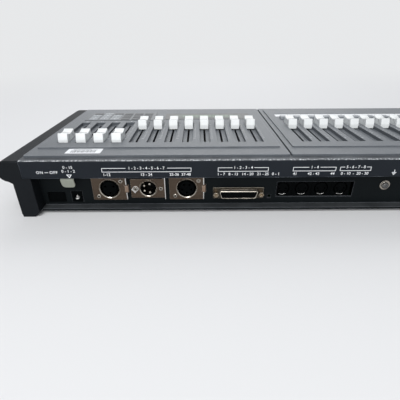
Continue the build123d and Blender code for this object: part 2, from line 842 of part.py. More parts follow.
# ---------------------------------------------------------------- power switch
with BuildPart() as switch_frame:
    with BuildSketch(rear_plane(switch_x, switch_height)):
        Rectangle(switch_frame_width, switch_frame_height)
    extrude(amount=switch_flange)
    with BuildSketch(rear_plane(switch_x, switch_height)):
        Rectangle(switch_body_width, switch_body_height)
    extrude(amount=-switch_body_depth)
    with BuildSketch(rear_plane(switch_x, switch_height, switch_flange)):
        Rectangle(switch_well_width, switch_well_height)
    extrude(amount=-switch_flange - switch_well_depth, mode=Mode.SUBTRACT)
    with BuildSketch(Plane.XY.offset(switch_height - rocker_pin_length / 2 - running_gap)):
        with Locations((switch_x, panel_y - rocker_pivot_depth)):
            Circle(rocker_pin_radius + running_gap)
    extrude(amount=rocker_pin_length + 2 * running_gap, mode=Mode.SUBTRACT)
save(switch_frame, "switch_frame")

with BuildPart() as power_rocker:
    pivot = (switch_x, panel_y - rocker_pivot_depth, switch_height)
    rocker_base = Plane(origin=pivot, x_dir=(-1, 0, 0), z_dir=(0, 0, -1)).rotated((0, 0, rocker_tilt))
    with BuildSketch(rocker_base.offset(-rocker_height / 2)):
        with BuildLine():
            Polyline(
                (-rocker_length / 2, rocker_ends),
                (0, rocker_middle),
                (rocker_length / 2, rocker_ends),
                (rocker_length / 2 - rocker_ends, -rocker_depth),
                (-rocker_length / 2 + rocker_ends, -rocker_depth),
                close=True,
            )
        make_face()
    extrude(amount=rocker_height)
    with BuildSketch(rocker_base.offset(-rocker_pin_length / 2)):
        Circle(rocker_pin_radius)
    extrude(amount=rocker_pin_length)
save(power_rocker, "power_rocker")

# ---------------------------------------------------------------- low-voltage inlet
with BuildPart() as inlet_body:
    with BuildSketch(rear_plane(dc_x, dc_centre, dc_proud)):
        Rectangle(dc_width, dc_height)
    extrude(amount=-dc_depth)
    with BuildSketch(rear_plane(dc_x, dc_centre, dc_proud)):
        Circle(dc_bore)
    extrude(amount=-dc_bore_depth, mode=Mode.SUBTRACT)
with BuildPart() as inlet_pin:
    with BuildSketch(rear_plane(dc_x, dc_centre, dc_proud - dc_bore_depth)):
        Circle(dc_pin_radius)
    extrude(amount=dc_bore_depth - dc_proud)
save_group([inlet_body, inlet_pin], "dc_inlet")

# ---------------------------------------------------------------- earth terminal
with BuildPart() as terminal_washer:
    with BuildSketch(rear_plane(earth_x, earth_height)):
        Circle(earth_washer)
        Circle(earth_screw + hole_gap, mode=Mode.SUBTRACT)
    extrude(amount=earth_washer_thickness)
with BuildPart() as terminal_screw:
    with BuildSketch(rear_plane(earth_x, earth_height, earth_washer_thickness)):
        Circle(earth_head)
    extrude(amount=earth_head_height)
    fillet(terminal_screw.faces().sort_by(Axis.Y)[-1].edges(), earth_head_height / 2)
    with BuildSketch(rear_plane(earth_x, earth_height, earth_washer_thickness)):
        Circle(earth_screw)
    extrude(amount=-earth_washer_thickness - panel_thickness - earth_nut_height - earth_screw_end)
    with BuildSketch(rear_plane(earth_x, earth_height, earth_washer_thickness + earth_head_height)):
        Rectangle(2 * earth_head, recess_width)
    extrude(amount=-recess_depth_in_head, mode=Mode.SUBTRACT)
with BuildPart() as terminal_nut:
    with BuildSketch(rear_plane(earth_x, earth_height, -panel_thickness)):
        RegularPolygon(earth_nut, 6)
        Circle(earth_screw, mode=Mode.SUBTRACT)
    extrude(amount=-earth_nut_height)
save_group([terminal_washer, terminal_screw, terminal_nut], "earth_terminal")

# ---------------------------------------------------------------- cable clip under the fascia
with BuildPart() as cable_clip:
    clip_end = (dc_x + clip_shift - clip_width / 2, clip_y, fascia_bottom)
    with BuildSketch(Plane(origin=clip_end, x_dir=(0, 1, 0), z_dir=(1, 0, 0))):
        with BuildLine() as clip_line:
            seat = Line((-clip_seat, -clip_thickness / 2), (0, -clip_thickness / 2))
            bend = RadiusArc(seat @ 1, (clip_curl, -clip_thickness / 2 - clip_curl), clip_curl)
            PolarLine(bend @ 1, clip_drop - clip_curl, angle=-90 - clip_lean)
        trace(clip_line.edges(), line_width=clip_thickness)
    extrude(amount=clip_width)
    tip_corners = cable_clip.faces().sort_by(Axis.Z)[0].edges().sort_by(SortBy.LENGTH)[:2]
    fillet(tip_corners, clip_corner)
save(cable_clip, "cable_clip")

# ---------------------------------------------------------------- circuit boards
def slide_control(x):
    """Slide potentiometer: a metal box slotted for the lever."""
    with BuildPart() as control:
        with BuildSketch(deck_plane(x, trough_middle, -sheet)):
            Rectangle(control_width, control_length)
        extrude(amount=-control_height)
        with BuildSketch(deck_plane(x, trough_middle, -sheet)):
            Rectangle(control_slot, control_slot_length)
        extrude(amount=-control_height + control_floor, mode=Mode.SUBTRACT)
    return control


def fader_board(side):
    """Board carrying one module's slide controls and, on the channel side, the button switches."""
    middle = trough_start + board_length / 2
    with BuildPart() as board:
        with BuildSketch(deck_plane(side * module_x, middle, -sheet - control_height)):
            Rectangle(aperture_width - 2 * board_margin, board_length)
        extrude(amount=-board_thickness)
    return board


def button_switch(x):
    """Push switch standing on the board under one flash button."""
    switch_top = button_shoulder - button_flange_height - button_travel - fit_gap
    with BuildPart() as switch:
        with BuildSketch(deck_plane(x, button_row, -sheet - control_height)):
            Rectangle(switch_width, switch_width)
        extrude(amount=control_height + sheet + switch_top)
    return switch


with BuildPart() as connector_board:
    board_middle = (
        connector_board_start - connector_board_width / 2,
        board_y - connector_board_depth / 2,
    )
    standoff_spacing = (
        connector_board_width - 2 * standoff_inset,
        connector_board_depth - 2 * standoff_inset,
    )
    with BuildSketch(Plane.XY.offset(connector_board_top - board_thickness)):
        with Locations(board_middle):
            Rectangle(connector_board_width, connector_board_depth)
    extrude(amount=board_thickness)
    with BuildSketch(Plane.XY.offset(floor_top)):
        with Locations(board_middle):
            with GridLocations(*standoff_spacing, 2, 2):
                Circle(standoff_radius)
    extrude(amount=connector_board_top - board_thickness - floor_top)

boards = [connector_board]
for side in (-1, 1):
    boards.append(fader_board(side))
    boards.extend(slide_control(side * module_x + offset) for offset in fader_offsets())
boards.extend(button_switch(-module_x + offset) for offset in fader_offsets())
save_group(boards, "circuit_boards")

# ---------------------------------------------------------------- display window and keypad
with BuildPart() as display_window:
    with BuildSketch(deck_plane(window_x, insert_row, field_top - window_thickness + window_proud)) as pane:
        Rectangle(window_width, window_length)
        fillet(pane.vertices(), window_proud)
    extrude(amount=window_thickness)
save(display_window, "display_window")

with BuildPart() as keypad_overlay:
    with BuildSketch(deck_plane(keypad_x, insert_row, field_top - keypad_thickness / 2)) as overlay:
        Rectangle(keypad_width, keypad_length)
        fillet(overlay.vertices(), keypad_thickness)
    extrude(amount=keypad_thickness)
save(keypad_overlay, "keypad_overlay")


# ---------------------------------------------------------------- fasteners and feet
def rivet(x, z, face):
    """Hollow rivet through a flange and the panel."""
    foot = (x, panel_y + face, z)
    with BuildPart() as body:
        with BuildSketch(Plane(origin=foot, x_dir=(1, 0, 0), z_dir=(0, 0, 1))):
            with BuildLine():
                Polyline(
                    (rivet_bore, -rivet_length),
                    (rivet_bore, rivet_head_height),
                    (rivet_head - rivet_bevel, rivet_head_height),
                    (rivet_head, rivet_head_height - rivet_bevel),
                    (rivet_head, 0),
                    (screw_radius, 0),
                    (screw_radius, -rivet_length),
                    close=True,
                )
            make_face()
        revolve(axis=Axis(foot, (0, 1, 0)))
    return body


def earth_tag(x, z, face):
    """Pointed metal tag held under one rivet head."""
    with BuildPart() as tag:
        with BuildSketch(rear_plane(x, z, face)):
            with BuildLine():
                Polyline(
                    (0, tag_ring),
                    (-tag_reach, -tag_tip),
                    (-tag_tip, -tag_drop),
                    (tag_ring, 0),
                    close=True,
                )
            make_face()
            Circle(tag_ring)
            Circle(screw_radius + hole_gap, mode=Mode.SUBTRACT)
        extrude(amount=tag_thickness)
    return tag


def jack_screw(x):
    """Hexagonal jack screw at one end of the serial outlet."""
    with BuildPart() as jack:
        with BuildSketch(rear_plane(x, serial_height, serial_flange_thickness)):
            RegularPolygon(jack_flats / 2, 6, major_radius=False)
        extrude(amount=jack_length)
        with BuildSketch(rear_plane(x, serial_height, serial_flange_thickness)):
            Circle(screw_radius)
        extrude(amount=-screw_length)
        with BuildSketch(rear_plane(x, serial_height, serial_flange_thickness + jack_length)):
            Circle(screw_radius)
        extrude(amount=-jack_length / 2, mode=Mode.SUBTRACT)
    return jack


def foot_screw(x, y):
    """Screw holding a rubber foot up to the tray."""
    head_low = foot_recess_depth - screw_head_height
    with BuildPart() as screw:
        with BuildSketch(Plane.XY.offset(head_low)):
            with Locations((x, y)):
                Circle(screw_head)
        extrude(amount=screw_head_height)
        with BuildSketch(Plane.XY.offset(head_low + screw_head_height)):
            with Locations((x, y)):
                Circle(screw_radius)
        extrude(amount=floor_top - head_low)
    return screw


fasteners = []
for i in range(3):
    for across, up in rivet_spots(i):
        place = (outlet_x(i) - across, outlet_height + up)
        tagged = i == 1 and across < 0
        if tagged:
            fasteners.append(earth_tag(*place, outlet_flange_thickness))
        fasteners.append(rivet(*place, outlet_flange_thickness + (tag_thickness if tagged else 0)))
fasteners.extend(jack_screw(serial_x + sign * serial_screw_x) for sign in (-1, 1))
fasteners.extend(foot_screw(x, y) for x, y in foot_spots)
save_group(fasteners, "fasteners")


def rubber_foot(x, y):
    """Round rubber foot, recessed for its screw."""
    with BuildPart() as foot:
        with BuildSketch(Plane.XY):
            with Locations((x, y)):
                Circle(foot_radius)
        extrude(amount=tray_lift)
        chamfer(foot.edges().group_by(Axis.Z)[0], tray_lift / 4)
        with BuildSketch(Plane.XY):
            with Locations((x, y)):
                Circle(foot_recess)
        extrude(amount=foot_recess_depth, mode=Mode.SUBTRACT)
        with BuildSketch(Plane.XY):
            with Locations((x, y)):
                Circle(screw_radius + hole_gap)
        extrude(amount=tray_lift, mode=Mode.SUBTRACT)
    return foot


save_group([rubber_foot(x, y) for x, y in foot_spots], "rubber_feet")
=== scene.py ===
"""Looks of the lighting control desk: finishes of the CAD pieces, printed legends and small trim."""
import json
from math import atan2, cos, pi, radians, sin, tan

import bmesh
import bpy
from mathutils import Matrix, Vector


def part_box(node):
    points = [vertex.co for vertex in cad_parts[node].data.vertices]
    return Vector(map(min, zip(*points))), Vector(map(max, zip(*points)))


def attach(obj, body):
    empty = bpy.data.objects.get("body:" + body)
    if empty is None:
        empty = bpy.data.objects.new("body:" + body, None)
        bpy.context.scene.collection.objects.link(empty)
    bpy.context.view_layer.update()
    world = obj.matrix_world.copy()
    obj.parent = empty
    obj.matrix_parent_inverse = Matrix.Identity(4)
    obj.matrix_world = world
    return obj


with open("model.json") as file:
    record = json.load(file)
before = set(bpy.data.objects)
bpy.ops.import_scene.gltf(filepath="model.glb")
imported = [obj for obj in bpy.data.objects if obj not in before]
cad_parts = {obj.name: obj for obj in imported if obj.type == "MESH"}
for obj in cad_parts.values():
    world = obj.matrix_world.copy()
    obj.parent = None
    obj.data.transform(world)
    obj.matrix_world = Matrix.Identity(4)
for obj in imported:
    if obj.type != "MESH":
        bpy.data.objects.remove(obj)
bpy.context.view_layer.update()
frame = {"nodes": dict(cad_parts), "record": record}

scene = bpy.context.scene
nodes = frame["nodes"]
joints = frame["record"]["behaviour"]["joints"]
MM = 0.001
TOUCH = 0.01 * MM        # places closer than this are taken as one
INK = 0.06 * MM          # how far printed marks stand off the face that they are on
BOLD = 0.006             # how much heavier the characters are than the plain font, as a share of their size

# ------------------------------------------------------------------ places read from the frame
SWITCH_FLANGE = 1.2 * MM         # switch frame standing out of the connector panel
fader_axis = Vector(next(j["axis"] for j in joints if "fader" in j["name"]))
TOP_RISE = atan2(fader_axis.z, fader_axis.y)
UP = Vector((0, -sin(TOP_RISE), cos(TOP_RISE)))
BACK = Vector((0, cos(TOP_RISE), sin(TOP_RISE)))
cover_points = [v.co.copy() for v in nodes["top_cover"].data.vertices]
REAR_Y = Vector(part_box("top_cover")[1]).y
REAR_Z = (max(point.dot(UP) for point in cover_points) + REAR_Y * sin(TOP_RISE)) / cos(TOP_RISE)
PANEL_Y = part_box("switch_frame")[1][1] - SWITCH_FLANGE


def deck(x, s, up=0.0):
    """Point on the sloping top: s forward of its rear edge, up above the cover, in metres."""
    return Vector((x, REAR_Y, REAR_Z)) - BACK * s + UP * up


def on_deck(point):
    """Place of a point in the top's own terms: x, forward from the rear edge, height above the cover."""
    off = Vector(point) - deck(0, 0)
    return off.x, -off.dot(BACK), off.dot(UP)


def deck_matrix(x, s, up=0.0, turned=False):
    """Frame on the top, x along the desk and y to the rear, or turned to be read from behind."""
    right = Vector((-1, 0, 0)) if turned else Vector((1, 0, 0))
    away = -BACK if turned else BACK
    m = Matrix((right, away, UP)).transposed().to_4x4()
    m.translation = deck(x, s, up)
    return m


def rear_matrix(x, y, z):
    """Frame on a face that looks to the rear, x to the viewer's right and y up."""
    m = Matrix((Vector((-1, 0, 0)), Vector((0, 0, 1)), Vector((0, 1, 0)))).transposed().to_4x4()
    m.translation = Vector((x, y, z))
    return m


def middle(node):
    """Middle of a CAD node's box."""
    low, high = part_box(node)
    return (Vector(low) + Vector(high)) / 2


def top_of(node):
    """Height of a CAD node's highest point above the cover."""
    return max(on_deck(v.co)[2] for v in nodes[node].data.vertices)


# ------------------------------------------------------------------ materials
SPECKS = (0.60, 0.62, 0.64, 1)           # bare metal where the paint has chipped
# Pale tint of upward faces: settled dust, and painted light falling from above.
DUST_AND_TOP_LIGHT = (0.34, 0.36, 0.38, 1)
MOTTLE = {"Scale": 38, "Detail": 6, "Roughness": 0.62}
GRAIN_DETAIL = 3
GRAIN_HEIGHT = 0.4 * MM
ALONG_Z = (1, 1, 12)                     # stretch of a streaked finish
CHIPPED = (0.5, 0.6)                     # grain noise at which specks begin and are full
FACING_UP = 0.6                          # least upward part of a normal that gets the dust and the painted light from above
EDGE_TURN = (0.99, 0.80)                 # how far a rounded normal turns where edge wear and the painted edge highlight begin and are full
SCUFFED_AND_GLINTING = (0.42, 0.62)                   # mottle noise at which edge wear and the painted edge highlight begin and are full
SHEEN = (0.85, 1.2)                      # least and most roughness, as shares of the finish's own
BEVEL_SAMPLES = 4


def add(tree, kind, values=(), **settings):
    """Adds a shader node with its own settings, then the values of its inputs."""
    made = tree.nodes.new("ShaderNode" + kind)
    for key, value in settings.items():
        setattr(made, key, value)
    for socket, value in dict(values).items():
        made.inputs[socket].default_value = value
    return made


def map_range(tree, source, values):
    """Maps a socket's value to another range."""
    mapped = add(tree, "MapRange", values)
    tree.links.new(source, mapped.inputs["Value"])
    return mapped.outputs[0]


def combine(tree, operation, one, other):
    """Result of a sum, product or the like of two sockets."""
    result = add(tree, "Math", operation=operation)
    tree.links.new(one, result.inputs[0])
    tree.links.new(other, result.inputs[1])
    return result.outputs[0]


def lay_over(tree, surface, colour, factor):
    """Blends a colour over a surface's colour, by the value of a factor's socket."""
    blend = add(tree, "Mix", data_type="RGBA")
    blend.inputs["B"].default_value = colour
    tree.links.new(factor, blend.inputs["Factor"])
    tree.links.new(surface, blend.inputs["A"])
    return blend.outputs["Result"]


def empty_material(name):
    """A material without nodes, and its tree."""
    mat = bpy.data.materials.new(name)
    mat.use_nodes = True
    mat.node_tree.nodes.clear()
    return mat, mat.node_tree


def finish(name, colour, rough, metal=0.0, grain=600.0, grain_depth=0.15, vary=0.12, wear_and_glint=0.0,
           wear_and_glint_colour=(0.5, 0.5, 0.5), round_edge=0.4 * MM, coat=0.0, streak=False, clear=0.0,
           dust_and_top_light=0.0, shine=0.5, spread=0.0, speckle=0.0):
    """Procedural finish: mottled colour, uneven roughness, fine grain, rounded edges lightened by wear and
    a painted highlight.
    """
    mat, tree = empty_material(name)
    link = tree.links.new
    shader = add(tree, "BsdfPrincipled")
    shader.inputs["Metallic"].default_value = metal
    shader.inputs["Coat Weight"].default_value = coat
    shader.inputs["Transmission Weight"].default_value = clear
    shader.inputs["Specular IOR Level"].default_value = shine
    link(shader.outputs[0], add(tree, "OutputMaterial").inputs[0])
    place = add(tree, "Mapping", {"Scale": ALONG_Z if streak else (1, 1, 1)})
    link(add(tree, "TexCoord").outputs["Object"], place.inputs["Vector"])
    blotch = add(tree, "TexNoise", MOTTLE)
    fine = add(tree, "TexNoise", {"Scale": grain, "Detail": GRAIN_DETAIL})
    for noise in (blotch, fine):
        link(place.outputs[0], noise.inputs["Vector"])
    mottle, grit = blotch.outputs["Fac"], fine.outputs["Fac"]

    tint = add(tree, "Mix", data_type="RGBA")
    tint.inputs["A"].default_value = (*[c * (1 - vary) for c in colour], 1)
    tint.inputs["B"].default_value = (*[min(1, c * (1 + vary)) for c in colour], 1)
    link(mottle, tint.inputs["Factor"])
    surface = tint.outputs["Result"]
    if speckle:
        spots = map_range(tree, grit, {"From Min": CHIPPED[0], "From Max": CHIPPED[1], "To Max": speckle})
        surface = lay_over(tree, surface, SPECKS, spots)
    # Upward faces lightened: partly settled dust, partly painted light from above.
    if dust_and_top_light:
        facing = add(tree, "SeparateXYZ")
        link(add(tree, "NewGeometry").outputs["Normal"], facing.inputs[0])
        dust_and_top_light_share = map_range(tree, facing.outputs["Z"], {"From Min": FACING_UP, "To Max": dust_and_top_light})
        surface = lay_over(tree, surface, DUST_AND_TOP_LIGHT, combine(tree, "MULTIPLY", dust_and_top_light_share, mottle))
    if round_edge:
        rounded = add(tree, "Bevel", {"Radius": round_edge}, samples=BEVEL_SAMPLES).outputs[0]
    # Edge colour: partly wear, partly a painted highlight that lightens rounded edges where they would
    # catch the light.
    if wear_and_glint:
        turn = add(tree, "VectorMath", operation="DOT_PRODUCT")
        link(rounded, turn.inputs[0])
        link(add(tree, "NewGeometry").outputs["Normal"], turn.inputs[1])
        edge = map_range(tree, turn.outputs["Value"],
                         {"From Min": EDGE_TURN[0], "From Max": EDGE_TURN[1], "To Max": wear_and_glint})
        scuff_and_glint = map_range(tree, mottle, {"From Min": SCUFFED_AND_GLINTING[0] - spread, "From Max": SCUFFED_AND_GLINTING[1] - spread})
        surface = lay_over(tree, surface, (*wear_and_glint_colour, 1), combine(tree, "MULTIPLY", edge, scuff_and_glint))
    link(surface, shader.inputs["Base Color"])

    sheen = map_range(tree, mottle, {"To Min": rough * SHEEN[0], "To Max": min(1, rough * SHEEN[1])})
    link(sheen, shader.inputs["Roughness"])
    bump = add(tree, "Bump", {"Strength": grain_depth, "Distance": GRAIN_HEIGHT})
    link(grit, bump.inputs["Height"])
    if round_edge:
        link(rounded, bump.inputs["Normal"])
    link(bump.outputs[0], shader.inputs["Normal"])
    return mat


# The pale wear colours below paint highlights on rounded edges as well as wear.
CASE = finish("case_paint", (0.0125, 0.0155, 0.020), 0.46, grain=1500, grain_depth=0.45, vary=0.18,
              wear_and_glint=0.85, wear_and_glint_colour=(0.28, 0.31, 0.35), round_edge=1.1 * MM, dust_and_top_light=0.5, shine=0.08)
# Darker copy of the case paint for the tray: painted shade of the recess under the fascia.
SHADED_PANEL_PAINT = finish("panel_paint_shaded", (0.0056, 0.0075, 0.0085), 0.5, grain=1500, grain_depth=0.4, vary=0.18,
               wear_and_glint=0.55, wear_and_glint_colour=(0.17, 0.18, 0.20), round_edge=1.2 * MM, dust_and_top_light=0.2, shine=0.055,
               spread=0.2)
# Much lighter paint for the cover's rounded rear edge: a painted highlight, with speckled chips of wear.
WORN_AND_HIGHLIT = finish("worn_and_highlit_edge", (0.10, 0.108, 0.118), 0.36, grain=520, grain_depth=1.0, vary=0.4, round_edge=0,
              shine=0.6, speckle=0.75)
CHEEK = finish("cheek_plastic", (0.0080, 0.0095, 0.0115), 0.5, grain=1900, grain_depth=0.5, vary=0.15,
               wear_and_glint=0.6, wear_and_glint_colour=(0.09, 0.10, 0.115), round_edge=0.9 * MM, dust_and_top_light=0.05, shine=0.07)
BEZEL = finish("bezel_plastic", (0.095, 0.106, 0.119), 0.46, grain=1900, grain_depth=0.4, vary=0.12,
               wear_and_glint=0.9, wear_and_glint_colour=(0.36, 0.39, 0.42), round_edge=0.5 * MM, dust_and_top_light=0.2, shine=0.35,
               spread=0.15)
CAP = finish("fader_white", (0.78, 0.805, 0.805), 0.42, grain=900, grain_depth=0.06, vary=0.05, wear_and_glint=0.25,
             wear_and_glint_colour=(0.50, 0.49, 0.46), round_edge=0.8 * MM, coat=0.05)
LEVER = finish("lever_steel", (0.40, 0.40, 0.39), 0.3, metal=1.0, grain=900, vary=0.08)
BUTTON = finish("button_grey", (0.27, 0.29, 0.31), 0.5, grain=900, grain_depth=0.1, vary=0.06, wear_and_glint=0.3,
                wear_and_glint_colour=(0.42, 0.43, 0.44), round_edge=0.6 * MM)
PLATED = finish("plated_steel", (0.082, 0.059, 0.042), 0.30, metal=0.75, grain=700, grain_depth=0.12,
                vary=0.4, wear_and_glint=1.0, wear_and_glint_colour=(0.78, 0.71, 0.60), round_edge=0.4 * MM, streak=True,
                spread=0.12)
LATCH = finish("latch_steel", (0.27, 0.19, 0.14), 0.3, metal=0.7, grain=700, vary=0.3, wear_and_glint=1.0,
               wear_and_glint_colour=(0.75, 0.66, 0.56), round_edge=0.4 * MM, spread=0.2)
BLACK = finish("black_plastic", (0.0016, 0.0021, 0.0023), 0.42, grain=1100, grain_depth=0.12, vary=0.2,
               wear_and_glint=0.2, wear_and_glint_colour=(0.02, 0.02, 0.02), round_edge=0.3 * MM, shine=0.02)
CONTROL = finish("slide_control", (0.012, 0.012, 0.013), 0.35, metal=0.3, grain=900, vary=0.2)
BRASS = finish("brass_plate", (0.058, 0.049, 0.038), 0.28, metal=0.85, grain=700, vary=0.35, wear_and_glint=1.0,
               wear_and_glint_colour=(0.84, 0.76, 0.62), round_edge=0.4 * MM, spread=0.15)
# Far lighter copy of the outlet's brass for its rim: a painted highlight.
HIGHLIT_BRASS = finish("brass_rim_highlight", (0.80, 0.755, 0.665), 0.2, metal=0.8, grain=900, grain_depth=0.06,
                      vary=0.08, round_edge=0)
JACK = finish("jack_brass", (0.25, 0.205, 0.15), 0.24, metal=0.95, grain=900, vary=0.2, wear_and_glint=1.0,
              wear_and_glint_colour=(0.95, 0.89, 0.76), round_edge=0.3 * MM, spread=0.2)
NICKEL = finish("shell_nickel", (0.44, 0.41, 0.36), 0.2, metal=1.0, grain=900, grain_depth=0.08, vary=0.25,
                wear_and_glint=0.7, wear_and_glint_colour=(0.95, 0.93, 0.88), round_edge=0.3 * MM)
RIVET = finish("rivet_steel", (0.34, 0.31, 0.27), 0.26, metal=0.95, grain=900, vary=0.15, wear_and_glint=0.8,
               wear_and_glint_colour=(0.85, 0.82, 0.76), round_edge=0.3 * MM, spread=0.1)
DARK_STEEL = finish("dark_steel", (0.12, 0.12, 0.12), 0.24, metal=0.95, grain=700, vary=0.35, wear_and_glint=1.0,
                    wear_and_glint_colour=(0.85, 0.85, 0.83), round_edge=0.4 * MM, spread=0.2)
STEEL = finish("bright_steel", (0.66, 0.65, 0.63), 0.22, metal=1.0, grain=900, grain_depth=0.08, vary=0.1,
               wear_and_glint=0.3, wear_and_glint_colour=(0.9, 0.9, 0.88), round_edge=0.3 * MM)
# Near-white tin for the inlet's spring: a painted glint on a real spring contact.
GLINT_TIN = finish("spring_tin_glint", (0.86, 0.86, 0.84), 0.4, metal=0.35, grain=900, grain_depth=0.06, vary=0.08,
             round_edge=0)
RUBBER = finish("foot_rubber", (0.014, 0.014, 0.014), 0.8, grain=900, grain_depth=0.4, vary=0.2, shine=0.3)
BOARD = finish("circuit_board", (0.015, 0.075, 0.032), 0.4, grain=400, vary=0.2)
WINDOW = finish("display_black", (0.010, 0.012, 0.014), 0.3, grain=200, grain_depth=0.02, vary=0.2,
                shine=0.3)
FILM = finish("keypad_film", (0.075, 0.084, 0.095), 0.4, grain=1600, grain_depth=0.25, vary=0.08)
CLIP = finish("clip_plastic", (0.36, 0.38, 0.32), 0.35, grain=500, grain_depth=0.25, vary=0.2, wear_and_glint=0.6,
              wear_and_glint_colour=(0.66, 0.68, 0.62), clear=0.3)
INK_WHITE = finish("ink_white", (0.78, 0.80, 0.82), 0.6, grain=2500, grain_depth=0.1, vary=0.1,
                   round_edge=0)
PAPER = finish("label_paper", (0.80, 0.82, 0.84), 0.55, grain=1200, grain_depth=0.1, vary=0.05,
               round_edge=0)
PAPER_GREY = finish("label_print", (0.22, 0.23, 0.25), 0.6, grain=1200, vary=0.2, round_edge=0)
INK_BLACK = finish("ink_black", (0.020, 0.021, 0.023), 0.55, grain=1200, vary=0.2, round_edge=0)
LCD = finish("display_glass", (0.045, 0.062, 0.050), 0.32, grain=300, grain_depth=0.03, vary=0.15,
             round_edge=0, shine=0.3)
SEGMENT = finish("display_digits", (0.30, 0.42, 0.30), 0.4, grain=300, vary=0.1, round_edge=0)
KEY_LIGHT = finish("key_light", (0.26, 0.28, 0.30), 0.45, grain=1600, grain_depth=0.2, vary=0.08,
                   round_edge=0.1 * MM)
KEY_DARK = finish("key_dark", (0.030, 0.035, 0.041), 0.45, grain=1600, grain_depth=0.2, vary=0.12,
                  round_edge=0.1 * MM)

SLOT_FINISH = {
    "case_paint": CASE, "cheek_plastic": CHEEK, "bezel_plastic": BEZEL, "fader_white": CAP,
    "button_grey": BUTTON, "plated_steel": PLATED, "black_plastic": BLACK, "brass_plate": BRASS,
    "bright_steel": STEEL, "foot_rubber": RUBBER, "circuit_board": BOARD, "display_black": WINDOW,
    "keypad_film": FILM, "clip_plastic": CLIP,
}
slot_of = {row["node"]: row["material_slot"] for row in frame["record"]["subparts"]}


def dress(node, mat):
    """Gives a CAD node one finish."""
    mesh = nodes[node].data
    mesh.materials.clear()
    mesh.materials.append(mat)


def dress_part(node, mat, belongs):
    """Gives a second finish to those of a node's faces whose middle passes the test."""
    mesh = nodes[node].data
    mesh.materials.append(mat)
    for face in mesh.polygons:
        if belongs(face.center):
            face.material_index = len(mesh.materials) - 1


for node in nodes:
    dress(node, SLOT_FINISH[slot_of[node]])
# the tray takes the darker paint, as painted shade
dress("base_tray", SHADED_PANEL_PAINT)
dress("earth_terminal", RIVET)
for node in ("output_1_latch", "output_3_latch"):
    dress(node, LATCH)


# ------------------------------------------------------------------ mesh helpers
ALMOST_HALF = 1 / 2.01       # so that two round corners of one side never meet


def piece(name, bm, mat, body="desk"):
    """Turns a bmesh into a piece that rides on a body."""
    mesh = bpy.data.meshes.new(name)
    bmesh.ops.recalc_face_normals(bm, faces=bm.faces)
    bm.to_mesh(mesh)
    bm.free()
    mesh.materials.append(mat)
    obj = bpy.data.objects.new(name, mesh)
    scene.collection.objects.link(obj)
    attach(obj, body)
    return obj


def slab(bm, matrix, width, length, thick, corner=0.0, steps=4):
    """Adds a thin plate with round corners, its foot on the matrix's plane."""
    corner = min(corner, width * ALMOST_HALF, length * ALMOST_HALF)
    outline = []
    for quarter, (sx, sy) in enumerate(((1, 1), (-1, 1), (-1, -1), (1, -1))):
        cx, cy = sx * (width / 2 - corner), sy * (length / 2 - corner)
        for k in range(steps + 1 if corner else 1):
            a = (quarter + (k / steps if corner else 0)) * pi / 2
            outline.append((cx + corner * cos(a), cy + corner * sin(a)))
    low = [bm.verts.new(matrix @ Vector((x, y, 0))) for x, y in outline]
    high = [bm.verts.new(matrix @ Vector((x, y, thick))) for x, y in outline]
    bm.faces.new(list(reversed(low)))
    bm.faces.new(high)
    for i in range(len(outline)):
        j = (i + 1) % len(outline)
        bm.faces.new((low[i], low[j], high[j], high[i]))


def write(bm, text, matrix, size, spacing=1.0):
    """Adds flat printed characters, centred on the matrix's origin."""
    curve = bpy.data.curves.new("letters", "FONT")
    curve.body = text
    curve.size = size
    curve.align_x = "CENTER"
    curve.align_y = "CENTER"
    curve.extrude = INK / 2
    curve.offset = size * BOLD
    curve.space_character = spacing
    curve.resolution_u = 3
    holder = bpy.data.objects.new("letters", curve)
    mesh = bpy.data.meshes.new_from_object(holder)
    mesh.transform(matrix @ Matrix.Translation((0, 0, INK)))
    bm.from_mesh(mesh)
    bpy.data.objects.remove(holder)
    bpy.data.meshes.remove(mesh)
    bpy.data.curves.remove(curve)


# ------------------------------------------------------------------ second finishes on CAD nodes
BORES = (10.45 * MM, 8.8 * MM, 10.45 * MM)       # radius of each outlet's bore with its bevel
LIP_WIDTH = 1.02 * MM                            # raised end of each outlet's flange, which gets bright steel as a painted highlight
LIP_FROM = PANEL_Y + 1.55 * MM
TAG_TOP = PANEL_Y + 1.95 * MM                    # tag under one rivet
WASHER_TOP = PANEL_Y + 1.02 * MM                 # earth terminal's washer
RIVETS_FROM = 12 * MM                            # rivets and jack screws stand higher than the foot screws
CONTROLS_FROM = -9.45 * MM                       # slide controls and switches, above their boards
INLET_PIN = 1.2 * MM                             # radius that holds the inlet's pin
WORN_AND_HIGHLIT_DOWN, WORN_AND_HIGHLIT_IN = 0.8 * MM, 2.4 * MM          # part of the cover's rounded rear edge with the painted highlight and worn chips
COVER_PLANE = deck(0, 0).dot(UP)

shells = [tuple(Vector(c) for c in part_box(f"output_{n}_shell")) for n in (1, 2, 3)]
inlet = middle("dc_inlet")


def in_bore(centre, radius):
    """Test for points in a round bore that looks to the rear."""
    return lambda point: (point.x - centre.x) ** 2 + (point.z - centre.z) ** 2 < radius ** 2


def on_lip(low):
    """Test for points on the raised end of the flange whose box begins at a corner."""
    return lambda point: point.x < low.x + LIP_WIDTH and point.y > LIP_FROM


def on_rivet(point):
    """True on the outlets' rivets, false on the tag under one of them and on the other fasteners."""
    for number, (low, high) in enumerate(shells):
        if low.x < point.x < high.x and point.z > RIVETS_FROM:
            return not (number == 1 and point.x > (low.x + high.x) / 2 and point.y < TAG_TOP)
    return False


def on_jack(point):
    """True on the serial outlet's jack screws."""
    return point.x < shells[2][0].x and RIVETS_FROM < point.z


def on_rear_edge(point):
    """True on the upper part of the cover's rounded rear edge."""
    below, inside = COVER_PLANE - point.dot(UP), REAR_Y - point.y
    return 2 * TOUCH < below < WORN_AND_HIGHLIT_DOWN and 2 * TOUCH < inside < WORN_AND_HIGHLIT_IN


